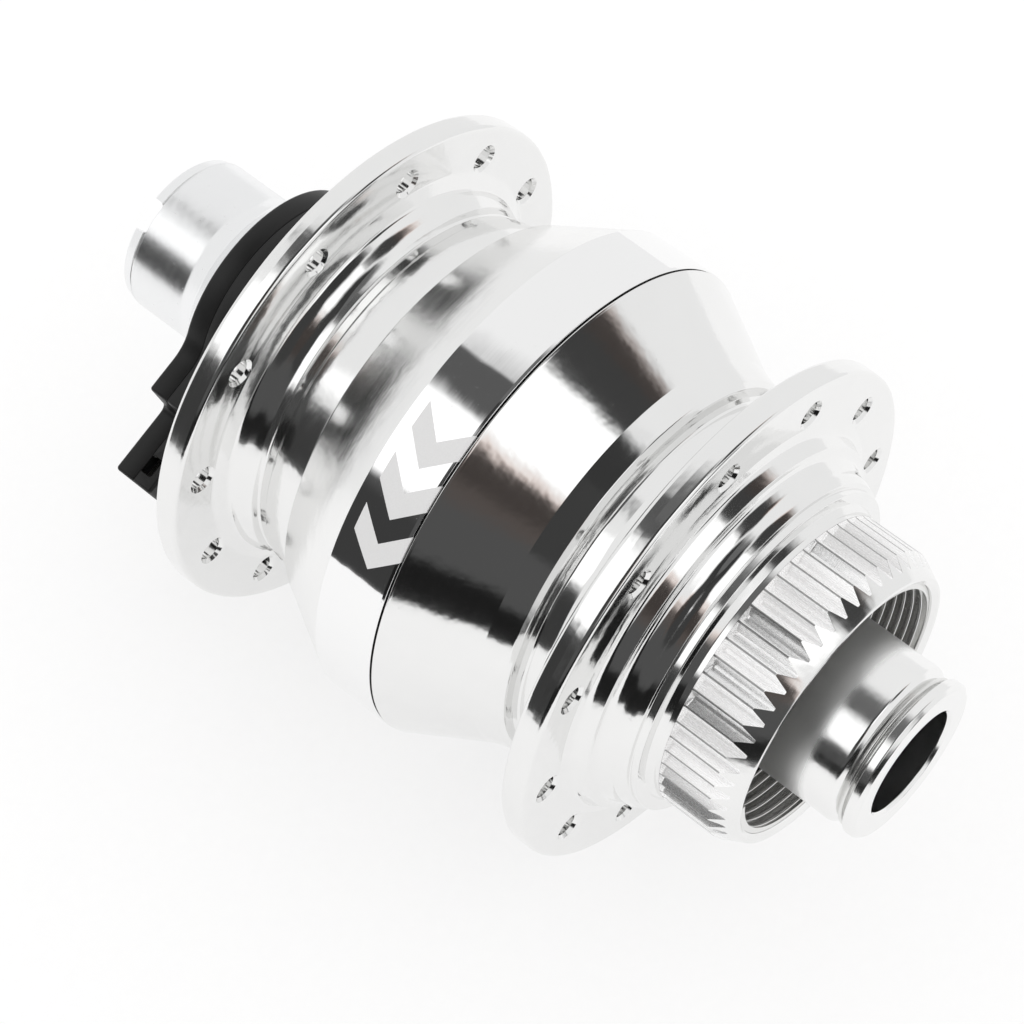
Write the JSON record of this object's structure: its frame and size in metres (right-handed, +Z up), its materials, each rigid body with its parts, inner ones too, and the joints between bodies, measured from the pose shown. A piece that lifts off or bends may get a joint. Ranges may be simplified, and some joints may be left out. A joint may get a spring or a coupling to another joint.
{
  "type": "bicycle front hub dynamo",
  "caption": "Polished two-piece front hub with a claw-pole generator inside, splined disc mount with lockring thread and a black side connector outlet.",
  "frame": {"origin": "centre of the hub on the axle line, midway between the two end faces", "axes": "+Y along the axle towards the disc-brake side, +Z up, +X forward on the bicycle"},
  "size_m": [0.0588, 0.1, 0.0588],
  "materials": {
    "polished_alloy": "mirror polished",
    "anodised_alloy": "bright turned",
    "steel": "turned",
    "bearing_steel": "ground",
    "pole_iron": "pressed soft iron",
    "magnet": "sintered, dark",
    "copper": "enamelled copper wire",
    "tinned_tab": "tinned",
    "black_plastic": "satin black",
    "bobbin_plastic": "natural",
    "black_rubber": "matt",
    "lead_red": "insulation",
    "lead_black": "insulation"
  },
  "bodies": {
    "axle_assembly": {"axle": "steel", "disc_side_end_cap": "anodised_alloy", "disc_side_wire_ring": "steel", "connector_side_end_cap": "anodised_alloy", "connector_housing": "black_plastic", "terminal_a": "tinned_tab", "terminal_b": "tinned_tab", "lead_a": "lead_red", "lead_b": "lead_black", "disc_side_bearing_inner_ring": "bearing_steel", "connector_side_bearing_inner_ring": "bearing_steel", "claw_plate_connector_side": "pole_iron", "claw_plate_disc_side": "pole_iron", "stator_core": "pole_iron", "coil_bobbin": "bobbin_plastic", "coil_winding": "copper", "stator_circlip": "steel", "stator_nut": "steel", "spacer_connector_side": "anodised_alloy", "spacer_disc_side": "anodised_alloy"},
    "hub_shell": {"disc_side_shell": "polished_alloy", "connector_side_shell": "polished_alloy", "seam_seal": "black_rubber", "flux_ring": "steel", "magnet_01": "magnet", "magnet_02": "magnet", "magnet_03": "magnet", "magnet_04": "magnet", "magnet_05": "magnet", "magnet_06": "magnet", "magnet_07": "magnet", "magnet_08": "magnet", "magnet_09": "magnet", "magnet_10": "magnet", "magnet_11": "magnet", "magnet_12": "magnet", "magnet_13": "magnet", "magnet_14": "magnet", "disc_side_dust_seal": "black_rubber", "disc_side_bearing_outer_ring": "bearing_steel", "connector_side_bearing_outer_ring": "bearing_steel", "disc_side_inboard_shield": "black_rubber", "disc_side_outboard_shield": "black_rubber", "connector_side_inboard_shield": "black_rubber", "connector_side_outboard_shield": "black_rubber"},
    "disc_side_ball_set": {"disc_side_ball_cage": "bearing_steel"},
    "connector_side_ball_set": {"connector_side_ball_cage": "bearing_steel"}
  },
  "joints": [
    {"name": "hub_spin", "type": "hinge", "parent": "axle_assembly", "child": "hub_shell", "pos_m": [0, 0, 0], "axis": [0, 1, 0], "continuous": true},
    {"name": "disc_side_ball_orbit", "type": "hinge", "parent": "axle_assembly", "child": "disc_side_ball_set", "pos_m": [0, 0.0308, 0], "axis": [0, 1, 0], "continuous": true},
    {"name": "connector_side_ball_orbit", "type": "hinge", "parent": "axle_assembly", "child": "connector_side_ball_set", "pos_m": [0, -0.0249, 0], "axis": [0, 1, 0], "continuous": true}
  ],
  "couplings": [
    {"joint": "disc_side_ball_orbit", "follows": "hub_spin", "ratio": 0.556},
    {"joint": "connector_side_ball_orbit", "follows": "hub_spin", "ratio": 0.556}
  ]
}
